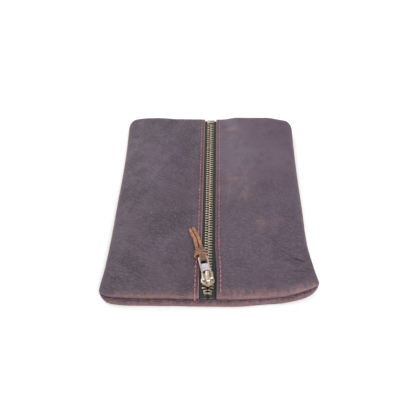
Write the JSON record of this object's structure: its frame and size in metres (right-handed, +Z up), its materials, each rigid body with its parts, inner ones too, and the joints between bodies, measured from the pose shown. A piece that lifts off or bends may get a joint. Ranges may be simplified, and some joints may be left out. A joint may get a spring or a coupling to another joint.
{
  "type": "zippered leather pouch",
  "caption": "Flat leather pouch with turned end seams, closed down the middle of its front by a metal zip with a locking slider, a metal pull and a leather thong.",
  "frame": {"origin": "on the table under the middle of the pouch, which lies on its back panel", "axes": "+X across the pouch, +Y along the zip from the near end, where the slider is when the zip is shut, to the far end, +Z up out of the front"},
  "size_m": [0.1646, 0.2, 0.0191],
  "materials": {
    "hide": "waxed, pebbled, worn tan at the folds",
    "zip_tape": "woven, navy black",
    "zip_chain": "antiqued",
    "slider_metal": "pale antique brass",
    "steel": "spring steel",
    "thread": "waxed dusty red thread",
    "thong_hide": "raw tan flesh side and dark grain side"
  },
  "bodies": {
    "pouch": {"leather_body": "hide", "zip_tape_left": "zip_tape", "zip_tape_right": "zip_tape", "zip_teeth_left": "zip_chain", "zip_teeth_right": "zip_chain", "top_stop_left": "zip_chain", "top_stop_right": "zip_chain", "bottom_stop": "zip_chain", "needle_thread_left": "thread", "needle_thread_right": "thread", "bobbin_thread_left": "thread", "bobbin_thread_right": "thread", "near_seam_thread": "thread", "far_seam_thread": "thread"},
    "slider": {"slider_body": "slider_metal", "slider_cap": "slider_metal"},
    "lock": {"locking_pin": "steel"},
    "pull": {"pull_tab": "slider_metal"},
    "thong": {"thong_loop": "thong_hide", "thong_keeper": "thong_hide", "thong_tail_left": "thong_hide", "thong_tail_right": "thong_hide"}
  },
  "joints": [
    {"name": "slider_travel", "type": "slide", "parent": "pouch", "child": "slider", "axis": [0, 1, 0], "range_m": [0, 0.1695], "deforming": ["zip_teeth_left", "zip_teeth_right"]},
    {"name": "pull_hinge", "type": "hinge", "parent": "slider", "child": "pull", "pos_m": [0, -0.0853, 0.01385], "axis": [0.9744, 0.225, 0], "range_deg": [0, 150]},
    {"name": "lock_lift", "type": "slide", "parent": "slider", "child": "lock", "axis": [0, 0, 1], "range_m": [0, 0.0008]},
    {"name": "thong_hinge", "type": "hinge", "parent": "pull", "child": "thong", "pos_m": [-0.00414, -0.06736, 0.01562], "axis": [0.9744, 0.225, 0], "range_deg": [0, 25]}
  ],
  "couplings": [
    {"joint": "lock_lift", "follows": "pull_hinge", "m_per_rad": 0.000305}
  ]
}
